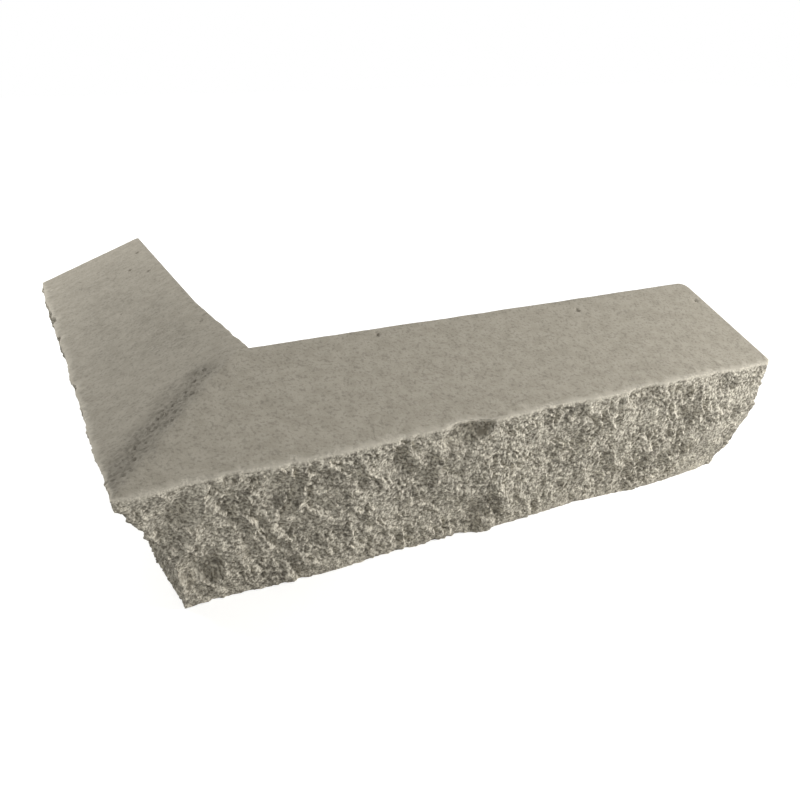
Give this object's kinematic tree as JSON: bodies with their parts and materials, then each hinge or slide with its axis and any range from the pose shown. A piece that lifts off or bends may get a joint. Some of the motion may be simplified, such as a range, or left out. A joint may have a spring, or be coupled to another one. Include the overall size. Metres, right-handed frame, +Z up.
{
  "type": "outside corner sill stone for a veneer wainscot",
  "caption": "L-shaped cast stone sill that turns an outside wall corner, with a sloped top, a mitred hip and an undercut rock-faced front.",
  "frame": {"origin": "outside corner of the wall that the sill wraps, level with the bed it stands on", "axes": "+X along the wall under the right leg, +Y along the wall under the left leg, +Z up"},
  "size_m": [0.3047, 0.305, 0.0906],
  "materials": {
    "cast_stone": "matte wet-cast concrete, warm grey"
  },
  "bodies": {
    "root": {"sill_corner": "cast_stone"}
  },
  "joints": []
}
